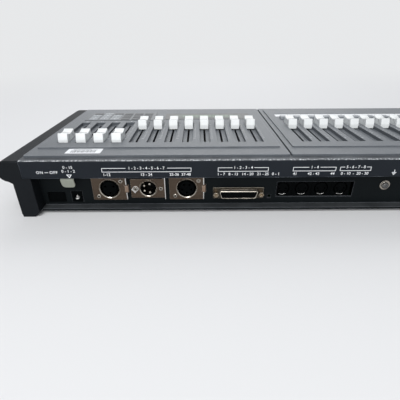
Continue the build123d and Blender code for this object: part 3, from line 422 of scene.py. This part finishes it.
for number, (low, high) in enumerate(shells):
    dress_part(f"output_{number + 1}_shell", NICKEL, in_bore((low + high) / 2, BORES[number]))
    # bright steel on the flange's raised end is a painted highlight
    dress_part(f"output_{number + 1}_shell", STEEL, on_lip(low))
dress_part("fasteners", RIVET, on_rivet)
dress_part("fasteners", JACK, on_jack)
dress_part("earth_terminal", DARK_STEEL, lambda point: point.y > WASHER_TOP)
dress_part("circuit_boards", CONTROL, lambda point: on_deck(point)[2] > CONTROLS_FROM)
# painted highlight along the cover's rear edge
dress_part("top_cover", WORN_AND_HIGHLIT, on_rear_edge)
dress_part("dc_inlet", STEEL, in_bore(inlet, INLET_PIN))

# ------------------------------------------------------------------ fader caps and their levers
LEVER_SIDE = 4 * MM          # a fader's points farther out than this are the cap's
DISH_REACH = 2 * MM          # how near a cap's middle its dish is measured
DISH_FROM = 3 * MM           # the dish lies higher than this above the cap's foot
LEVER_BOX = (0.65 * MM, 2.05 * MM, 5.1 * MM)     # half the lever's width and length, and its top
CAP_ROUND, BUTTON_ROUND = 0.6 * MM, 0.25 * MM
SHARP = radians(35)          # edges that turn more than this are softened
faders = sorted(n for n in nodes if "fader" in n)


def cap_points(node):
    """Points of a fader's cap, and of nothing but it, in the top's own terms."""
    x = middle(node).x
    return [on_deck(v.co) for v in nodes[node].data.vertices if abs(v.co.x - x) > LEVER_SIDE]


CAP_FOOT = min(spot[2] for spot in cap_points(faders[0]))


def cap_place(node):
    """Middle of a fader cap on the top, and the height of the dish in it."""
    cap = [spot for spot in cap_points(node) if spot[2] > CAP_FOOT - TOUCH]
    s = (min(c[1] for c in cap) + max(c[1] for c in cap)) / 2
    dish = min(c[2] for c in cap if abs(c[1] - s) < DISH_REACH and c[2] > CAP_FOOT + DISH_FROM)
    return middle(node).x, s, dish


def on_lever(x, s):
    """Test for points on the lever under the cap at a place."""
    def belongs(point):
        px, ps, pz = on_deck(point)
        return abs(px - x) < LEVER_BOX[0] and abs(ps - s) < LEVER_BOX[1] and pz < CAP_FOOT + LEVER_BOX[2]

    return belongs


def soften(node, width, segments):
    """Rounds a CAD node's sharp edges with modifiers, its mesh left as it is."""
    weld = nodes[node].modifiers.new("weld", "WELD")
    weld.merge_threshold = TOUCH
    bevel = nodes[node].modifiers.new("soft_edges", "BEVEL")
    bevel.width = width
    bevel.segments = segments
    bevel.limit_method = "ANGLE"
    bevel.angle_limit = SHARP
    bevel.harden_normals = True


cap_places = {node: cap_place(node) for node in faders}
for node, (x, s, dish) in cap_places.items():
    dress_part(node, LEVER, on_lever(x, s))
    soften(node, CAP_ROUND, 2)
for node in nodes:
    if node.startswith("flash_button"):
        soften(node, BUTTON_ROUND, 1)

# ------------------------------------------------------------------ print on the fascia
FASCIA_LOW = min(point.z for point in cover_points if abs(point.y - REAR_Y) < TOUCH)
LETTER = 4.0 * MM                # size of the printed characters
SPACED = 1.18                    # wider spacing of the words beside the switch
LINE = 0.5 * MM                  # width of the printed lines
LOW_ROW, SWITCH_ROW, MIDDLE_ROW, HIGH_ROW = 3.7 * MM, 6.4 * MM, 7.6 * MM, 11.6 * MM
FRAME_LOW, FRAME_HIGH = 6.7 * MM, 10.5 * MM      # lines of the frames over groups of sockets
outlets = [middle(f"output_{n}_shell").x for n in (1, 2, 3)]
serial = middle("serial_shell").x
sockets = middle("din_sockets").x
switch = middle("switch_frame").x
earth = middle("earth_terminal").x
mark_x = inlet.x - 2.7 * MM      # middle of the rows and the triangle over the clip

LEGENDS = (                      # text, the fitting that it names, mm to the viewer's left of it, height
    ("ON", switch, 4.0, SWITCH_ROW),
    ("OFF", switch, -9.6, SWITCH_ROW),
    ("0 - 15", mark_x, 0, HIGH_ROW),
    ("0 - 1 - 2", mark_x, 0, MIDDLE_ROW),
    ("1-12", outlets[0], -3.4, LOW_ROW),
    ("13 - 24", outlets[1], -1.8, LOW_ROW),
    ("25-36  37-48", outlets[2], 5.4, LOW_ROW),
    ("1 - 7   8 - 13   14 - 20   21 - 25", serial, -1.6, LOW_ROW),
    ("0 - 1", serial, -33.3, LOW_ROW),
    ("41", sockets, 25.2, LOW_ROW),
    ("42 - 43", sockets, 7.2, LOW_ROW),
    ("44", sockets, -11.2, LOW_ROW),
    ("0 - 10  -  20 - 30", sockets, -32.6, LOW_ROW),
)
FRAMES = (                       # text, mm that it takes up, ends of the frame
    ("1 - 2 - 3 - 4 - 5 - 6 - 7", 40, outlets[0] + 0.6 * MM, outlets[2] - 5.2 * MM),
    ("1 - 2 - 3 - 4", 21, serial + 22.6 * MM, serial - 25.6 * MM),
    ("1 - 4", 11, sockets + 27.4 * MM, sockets - 13.6 * MM),
    ("5 - 6 - 7 - 8", 21, sockets - 17.9 * MM, sockets - 47.4 * MM),
)
DASH = (-0.9 * MM, -4.3 * MM)    # ends of the dash between ON and OFF, from the switch


def fascia(x, up):
    """Frame on the fascia, up measured from its lower edge."""
    return rear_matrix(x, REAR_Y, FASCIA_LOW + up)


def rule(bm, x_from, x_to, up):
    """Level printed line between two places along the fascia."""
    slab(bm, fascia((x_from + x_to) / 2, up), abs(x_to - x_from), LINE, INK)


def bracket(bm, x_left, x_right, text_width, text):
    """Printed frame over a group of sockets, its upper line broken by characters."""
    x_mid = (x_left + x_right) / 2
    rule(bm, x_left, x_right, FRAME_LOW)
    rule(bm, x_left, x_mid + text_width / 2, FRAME_HIGH)
    rule(bm, x_mid - text_width / 2, x_right, FRAME_HIGH)
    for x in (x_left, x_right):
        slab(bm, fascia(x, (FRAME_LOW + FRAME_HIGH) / 2), LINE, FRAME_HIGH - FRAME_LOW + LINE, INK)
    write(bm, text, fascia(x_mid, FRAME_HIGH), LETTER)


legend = bmesh.new()
rule(legend, switch + DASH[0], switch + DASH[1], SWITCH_ROW)
for text, fitting, shift, height in LEGENDS:
    spacing = SPACED if height == SWITCH_ROW else 1.0
    write(legend, text, fascia(fitting + shift * MM, height), LETTER, spacing)
for text, text_width, left, right in FRAMES:
    bracket(legend, left, right, text_width * MM, text)
piece("fascia_print", legend, INK_WHITE)

EARTH_SHIFT = 3.9 * MM           # middle of the earth sign to the terminal
EARTH_BARS = (4.4 * MM, 2.9 * MM, 1.4 * MM)
EARTH_TOP, EARTH_STEP = 4.6 * MM, 1.1 * MM
EARTH_STEM, EARTH_STEM_UP = 2.9 * MM, 6.0 * MM
SIGN_LINE = 1.2 * LINE
TRIANGLE_UP = 2.9 * MM
TRIANGLE = (1.6 * MM, 3.2 * MM)  # middle of the triangle to its inner and outer corners
TRIANGLE_FLAT = 0.8              # height of the triangle against that of an even-sided one


def triangle_ring(bm, place):
    """Adds a hollow triangle that points down."""
    ring = []
    for radius in TRIANGLE:
        for k in range(3):
            a = k * 2 * pi / 3
            for lift in (0, INK):
                corner = Vector((radius * sin(a), -TRIANGLE_FLAT * radius * cos(a), lift))
                ring.append(bm.verts.new(place @ corner))
    for k in range(3):
        near, far = 2 * k, 2 * ((k + 1) % 3)
        for quad in ((near + 1, near + 7, far + 7, far + 1), (near, far, far + 6, near + 6),
                     (near + 6, far + 6, far + 7, near + 7), (near, near + 1, far + 1, far)):
            bm.faces.new([ring[i] for i in quad])


symbols = bmesh.new()
for step, width in enumerate(EARTH_BARS):
    slab(symbols, fascia(earth + EARTH_SHIFT, EARTH_TOP - step * EARTH_STEP), width, SIGN_LINE, INK)
slab(symbols, fascia(earth + EARTH_SHIFT, EARTH_STEM_UP), SIGN_LINE, EARTH_STEM, INK)
triangle_ring(symbols, fascia(mark_x, TRIANGLE_UP))
piece("fascia_symbols", symbols, INK_WHITE)

# ------------------------------------------------------------------ asset label on the rear border
BEZEL_UP = 2.2 * MM              # bezels' border above the cover
LABEL_X, LABEL_S = 204.5 * MM, 21.8 * MM
LABEL_WIDTH, LABEL_LENGTH, LABEL_CORNER = 35 * MM, 14.2 * MM, 0.8 * MM
PAPER_THICK = 0.12 * MM
BAR_WIDTHS = (0.9, 0.4, 0.6, 0.4, 1.1, 0.5, 0.4, 0.9, 0.6, 0.4, 0.4, 0.8)      # mm, printed twice
BAR_SPACE = 0.42                                 # mm
BAR_HEIGHT = 6.4 * MM
BARS_FROM, BARS_BACK = 12.5 * MM, 1.4 * MM       # from the label's middle
LABEL_LINES = ((0, 3.3, 25), (3, 4.9, 18))       # mm along and forward from the middle, and length
LABEL_LINE = 0.7 * MM


def on_label(along, forward):
    """Frame on the label's face, from its middle."""
    return deck_matrix(LABEL_X + along, LABEL_S + forward, BEZEL_UP + PAPER_THICK, turned=True)


paper = bmesh.new()
slab(paper, deck_matrix(LABEL_X, LABEL_S, BEZEL_UP, turned=True), LABEL_WIDTH, LABEL_LENGTH,
     PAPER_THICK, LABEL_CORNER)
piece("asset_label", paper, PAPER)
bars = bmesh.new()
along = BARS_FROM
for width in 2 * BAR_WIDTHS:
    slab(bars, on_label(along, -BARS_BACK), width * MM, BAR_HEIGHT, INK)
    along -= (width + BAR_SPACE) * MM
for shift, forward, length in LABEL_LINES:
    slab(bars, on_label(shift * MM, forward * MM), length * MM, LABEL_LINE, INK)
piece("asset_label_bars", bars, PAPER_GREY)

# ------------------------------------------------------------------ print beside the faders
FADERS = 12                      # faders of one module, and as many buttons
FIELD_UP = 3.6 * MM              # raised field of a bezel above the cover
STEPS = 10                       # parts of a fader's scale
LONG_MARK, SHORT_MARK, MARK_LINE = 2.6 * MM, 1.5 * MM, 0.3 * MM
MARKS_LEFT = 8.9 * MM            # fader to the outer end of its marks
NUMBER_FORWARD = 18 * MM         # cap at its front end to its number
CAP_LINE = (8.6 * MM, 0.8 * MM)


def travel_of(node):
    """Ends of a fader cap's travel, as places forward of the rear edge, rear end first."""
    ends = next(j for j in joints if j["child"] == node)["range_m"]
    return cap_places[node][1] - max(ends), cap_places[node][1] - min(ends)


for module in ("channel", "master"):
    marks = bmesh.new()
    for number in range(1, FADERS + 1):
        x = middle(f"{module}_fader_{number}").x
        rear, front = travel_of(f"{module}_fader_{number}")
        for step in range(STEPS + 1):
            width = LONG_MARK if step % (STEPS // 2) == 0 else SHORT_MARK
            s = rear + step * (front - rear) / STEPS
            slab(marks, deck_matrix(x - MARKS_LEFT + width / 2, s, FIELD_UP), width, MARK_LINE, INK)
        write(marks, str(number), deck_matrix(x, front + NUMBER_FORWARD, FIELD_UP), LETTER)
    piece(f"{module}_fader_scale", marks, INK_WHITE)

for node, (x, s, dish) in cap_places.items():
    line = bmesh.new()
    slab(line, deck_matrix(x, s, dish + TOUCH), *CAP_LINE, INK)
    piece(f"{node}_line", line, INK_BLACK, body=node)

# ------------------------------------------------------------------ writing strip
STRIP_FORWARD = 18.5 * MM        # middle of the buttons to the middle of the strip
STRIP_RECESS = 0.6 * MM          # depth of the recess that holds the strip
STRIP_UP = FIELD_UP - STRIP_RECESS
STRIP_LENGTH, STRIP_THICK, STRIP_CORNER = 13.8 * MM, 0.25 * MM, 0.6 * MM
STRIP_ENDS = 1.2 * MM            # how much shorter the strip is than its fields
FIELD_LINE, FIELD_LENGTH = 0.35 * MM, 12.6 * MM
STRIP_LETTER = 4.6 * MM
first, last = middle("flash_button_1"), middle(f"flash_button_{FADERS}")
strip_s = on_deck(first)[1] + STRIP_FORWARD
pitch = (last.x - first.x) / (FADERS - 1)
strip = bmesh.new()
slab(strip, deck_matrix((first.x + last.x) / 2, strip_s, STRIP_UP), FADERS * pitch - STRIP_ENDS,
     STRIP_LENGTH, STRIP_THICK, STRIP_CORNER)
piece("writing_strip", strip, PAPER)
strip_print = bmesh.new()
for number in range(FADERS):
    x = first.x + number * pitch
    write(strip_print, str(number + 1), deck_matrix(x, strip_s, STRIP_UP + STRIP_THICK), STRIP_LETTER)
    if number:
        slab(strip_print, deck_matrix(x - pitch / 2, strip_s, STRIP_UP + STRIP_THICK), FIELD_LINE,
             FIELD_LENGTH, INK)
piece("writing_strip_numbers", strip_print, INK_BLACK)

# ------------------------------------------------------------------ display and keypad
GLASS = (92 * MM, 19 * MM)
GLASS_CORNER = 0.8 * MM
DIGIT, DIGIT_ROW = 4.6 * MM, 7.4 * MM
KEY = (11.4 * MM, 7.6 * MM)
KEY_PITCH = (14.2 * MM, 10.0 * MM)
KEY_THICK, KEY_CORNER, KEY_LETTER = 0.35 * MM, 1.2 * MM, 4.2 * MM
KEY_ROWS = ("   789", "   456", "   123", "    0 ")
pane = on_deck(middle("display_window"))
pane_up = top_of("display_window")
glass = bmesh.new()
slab(glass, deck_matrix(pane[0], pane[1], pane_up), *GLASS, INK, GLASS_CORNER)
piece("display_glass", glass, LCD)
digits = bmesh.new()
upper_row = " ".join(f"{number:02d}" for number in range(1, FADERS + 1))
lower_row = " ".join(["00"] * FADERS)
for row, text in enumerate((upper_row, lower_row)):
    write(digits, text, deck_matrix(pane[0], pane[1] + (row - 0.5) * DIGIT_ROW, pane_up + INK), DIGIT)
piece("display_digits", digits, SEGMENT)

pad = on_deck(middle("keypad_overlay"))
pad_up = top_of("keypad_overlay")
number_keys, other_keys, key_print = bmesh.new(), bmesh.new(), bmesh.new()
for row, signs in enumerate(KEY_ROWS):
    for column, sign in enumerate(signs):
        x = pad[0] + (column - (len(signs) - 1) / 2) * KEY_PITCH[0]
        s = pad[1] + (row - (len(KEY_ROWS) - 1) / 2) * KEY_PITCH[1]
        keys = other_keys if sign == " " else number_keys
        slab(keys, deck_matrix(x, s, pad_up), *KEY, KEY_THICK, KEY_CORNER)
        if sign != " ":
            write(key_print, sign, deck_matrix(x, s, pad_up + KEY_THICK), KEY_LETTER)
piece("number_keys", number_keys, KEY_LIGHT)
piece("other_keys", other_keys, KEY_DARK)
piece("key_numbers", key_print, INK_WHITE)

# ------------------------------------------------------------------ rolled rim of the serial outlet
RIM_WIDTH, RIM_HEIGHT, RIM_CORNER = 39 * MM, 8.4 * MM, 1.68 * MM
RIM_LEAN = 10                    # degrees that the short sides lean in
RIM_SLANT = RIM_HEIGHT * tan(radians(RIM_LEAN))
RIM_RADIUS, RIM_SIDES = 0.42 * MM, 8
RIM_SWELL = 0.8                  # how much thicker the rim is along its top, as a share
RIM_OVERLAP = 0.5                # share of its radius by which the rim lies inside the shell's outline


def rim_outline(steps=5):
    """Points and outward directions round the serial outlet's mouth, in its own plane."""
    w, h, r = RIM_WIDTH / 2, RIM_HEIGHT / 2, RIM_CORNER
    corners = (((w, h), 0, 90), ((-w, h), 90, 180), ((-w + RIM_SLANT, -h), 180 + RIM_LEAN, 270),
               ((w - RIM_SLANT, -h), 270, 360 - RIM_LEAN))
    for (x, y), start, end in corners:
        cx = x - r * (1 if x > 0 else -1)
        cy = y - r * (1 if y > 0 else -1)
        for k in range(steps + 1):
            a = radians(start + (end - start) * k / steps)
            yield Vector((cx + r * cos(a), cy + r * sin(a), 0)), Vector((cos(a), sin(a), 0))


rim = bmesh.new()
shell_face = Vector(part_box("serial_shell")[1]).y
rim_place = rear_matrix(serial, shell_face - RIM_RADIUS, middle("serial_shell").z)
loops = []
for point, out in rim_outline():
    loop = []
    for k in range(RIM_SIDES):
        a = k * 2 * pi / RIM_SIDES
        thick = RIM_RADIUS * (1 + RIM_SWELL * max(0, out.y))
        spot = point + out * (thick * (cos(a) - RIM_OVERLAP)) + Vector((0, 0, RIM_RADIUS * sin(a)))
        loop.append(rim.verts.new(rim_place @ spot))
    loops.append(loop)
for here, after in zip(loops, loops[1:] + loops[:1]):
    for k in range(RIM_SIDES):
        face = rim.faces.new((here[k], here[(k + 1) % RIM_SIDES], after[(k + 1) % RIM_SIDES], after[k]))
        face.smooth = True
# the rim's light brass is a painted highlight
piece("serial_rim", rim, HIGHLIT_BRASS)

# ------------------------------------------------------------------ spring contacts of the sockets
SOCKETS, SOCKET_GAP = 4, 0.3 * MM        # round sockets, and the gap from one housing to the next
SOCKET_Z = 22.1 * MM
# Of each spring: radius, thickness, half its angle in degrees, and its ends from the rear face.
SOCKET_SPRING = (6.45 * MM, 0.5 * MM, 32, -1.0 * MM, 0.5 * MM)
INLET_SPRING = (1.9 * MM, 1.0 * MM, 36, -4.0 * MM, 0.2 * MM)


def spring(bm, centre, radius, thick, half_angle, y_from, y_to, steps=8):
    """Adds a curved spring in the lower part of a bore that looks to the rear."""
    outer = radius + thick
    ring = []
    for k in range(steps + 1):
        a = radians(-90 + (2 * k / steps - 1) * half_angle)
        for reach, out in ((radius, y_from), (outer, y_from), (outer, y_to), (radius, y_to)):
            ring.append(bm.verts.new(centre + Vector((reach * cos(a), out, reach * sin(a)))))
    for k in range(steps):
        for side in range(4):
            after = (side + 1) % 4
            bm.faces.new([ring[4 * k + i] for i in (side, after, after + 4, side + 4)])
    bm.faces.new(ring[:4])
    bm.faces.new(list(reversed(ring[-4:])))


block_low, block_high = (Vector(c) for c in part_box("din_sockets"))
socket_pitch = (block_high.x - block_low.x + SOCKET_GAP) / SOCKETS
springs = bmesh.new()
for i in range(SOCKETS):
    x = block_low.x + (i + 0.5) * socket_pitch - SOCKET_GAP / 2
    spring(springs, Vector((x, block_high.y, SOCKET_Z)), *SOCKET_SPRING)
piece("socket_springs", springs, STEEL)
# spring in the inlet's bore, sized and coloured as its painted glint
jack_spring = bmesh.new()
spring(jack_spring, Vector((inlet.x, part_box("dc_inlet")[1][1], inlet.z)), *INLET_SPRING)
piece("inlet_spring", jack_spring, GLINT_TIN)

# ------------------------------------------------------------------ camera
SENSOR, LENS, NEAREST = 36, 29.8, 10 * MM
CAMERA_PLACE = (0.0897, 0.4066, 0.1828)
CAMERA_AZIMUTH, CAMERA_PITCH, CAMERA_ROLL = 0.15, 29.4, -0.27      # degrees, azimuth from looking along -Y

azimuth, pitch_down = radians(CAMERA_AZIMUTH), radians(CAMERA_PITCH)
look = Vector((-sin(azimuth) * cos(pitch_down), -cos(azimuth) * cos(pitch_down), -sin(pitch_down)))
camera = bpy.data.objects.new("camera", bpy.data.cameras.new("camera"))
camera.data.sensor_width = SENSOR
camera.data.lens = LENS
camera.data.clip_start = NEAREST
camera.location = CAMERA_PLACE
camera.rotation_euler = (look.to_track_quat("-Z", "Y").to_matrix()
                         @ Matrix.Rotation(radians(CAMERA_ROLL), 3, "Z")).to_euler()
scene.collection.objects.link(camera)
scene.camera = camera

# ------------------------------------------------------------------ floor and backdrop
BACKDROP = (0.80, 0.81, 0.82, 1)         # what the camera and reflections see behind the desk
SKY, SKY_STRENGTH = (0.93, 0.95, 1.0, 1), 0.38
FLOOR_PAINT = (0.74, 0.745, 0.75, 1)
FLOOR_ROUGHNESS, FLOOR_SHINE = 0.8, 0.1
FLOOR_FADE = (0.42, 1.15)                # metres from the desk's middle where the floor turns into backdrop
FLOOR_SIZE = 40


def seen(tree):
    """Socket that is 1 for rays from the camera and for reflected and transmitted rays."""
    path = add(tree, "LightPath")
    total = path.outputs["Is Camera Ray"]
    for kind in ("Is Glossy Ray", "Is Transmission Ray"):
        total = combine(tree, "MAXIMUM", total, path.outputs[kind])
    return total


def pale_floor():
    """Pale floor that passes into the backdrop's colour away from the desk."""
    mat, tree = empty_material("pale_floor")
    link = tree.links.new
    paint = add(tree, "BsdfPrincipled")
    paint.inputs["Base Color"].default_value = FLOOR_PAINT
    paint.inputs["Roughness"].default_value = FLOOR_ROUGHNESS
    paint.inputs["Specular IOR Level"].default_value = FLOOR_SHINE
    glow = add(tree, "Emission", {"Color": BACKDROP, "Strength": 1})
    reach = add(tree, "VectorMath", operation="LENGTH")
    link(add(tree, "TexCoord").outputs["Object"], reach.inputs[0])
    fade = add(tree, "MapRange", {"From Min": FLOOR_FADE[0], "From Max": FLOOR_FADE[1]},
               interpolation_type="SMOOTHSTEP")
    link(reach.outputs["Value"], fade.inputs["Value"])
    blend = add(tree, "MixShader")
    link(combine(tree, "MULTIPLY", fade.outputs[0], seen(tree)), blend.inputs["Fac"])
    link(paint.outputs[0], blend.inputs[1])
    link(glow.outputs[0], blend.inputs[2])
    link(blend.outputs[0], add(tree, "OutputMaterial").inputs["Surface"])
    return mat


floor_bm = bmesh.new()
bmesh.ops.create_grid(floor_bm, x_segments=1, y_segments=1, size=FLOOR_SIZE)
floor_mesh = bpy.data.meshes.new("floor")
floor_bm.to_mesh(floor_mesh)
floor_bm.free()
floor = bpy.data.objects.new("floor", floor_mesh)
scene.collection.objects.link(floor)
floor_mesh.materials.append(pale_floor())

world = bpy.data.worlds.new("world")
scene.world = world
world.use_nodes = True
sky = world.node_tree
sky_light = sky.nodes["Background"]
sky_light.inputs["Color"].default_value = SKY
sky_light.inputs["Strength"].default_value = SKY_STRENGTH
sky_seen = add(sky, "Background", {"Color": BACKDROP, "Strength": 1})
sky_blend = add(sky, "MixShader")
sky.links.new(seen(sky), sky_blend.inputs["Fac"])
sky.links.new(sky_light.outputs[0], sky_blend.inputs[1])
sky.links.new(sky_seen.outputs[0], sky_blend.inputs[2])
sky.links.new(sky_blend.outputs[0], sky.nodes["World Output"].inputs["Surface"])

# ------------------------------------------------------------------ light
DESK_TOP = (0.05, 0.1, 0.03)             # what the rear lamps are turned to
LAMPS = (                                # name, place, target, side in metres, watts
    ("window_front", (0.0, -1.35, 1.05), (0, 0, 0), 1.6, 13),
    ("lamp_rear", (0.40, 1.00, 1.70), DESK_TOP, 0.8, 18),
    ("fill_rear", (0.2, 2.3, 1.0), DESK_TOP, 1.4, 29),
)
for name, place, target, size, power in LAMPS:
    lamp = bpy.data.lights.new(name, "AREA")
    lamp.size = size
    lamp.energy = power
    softbox = bpy.data.objects.new(name, lamp)
    softbox.location = place
    softbox.rotation_euler = (Vector(target) - Vector(place)).to_track_quat("-Z", "Y").to_euler()
    scene.collection.objects.link(softbox)
scene.view_settings.view_transform = "Standard"
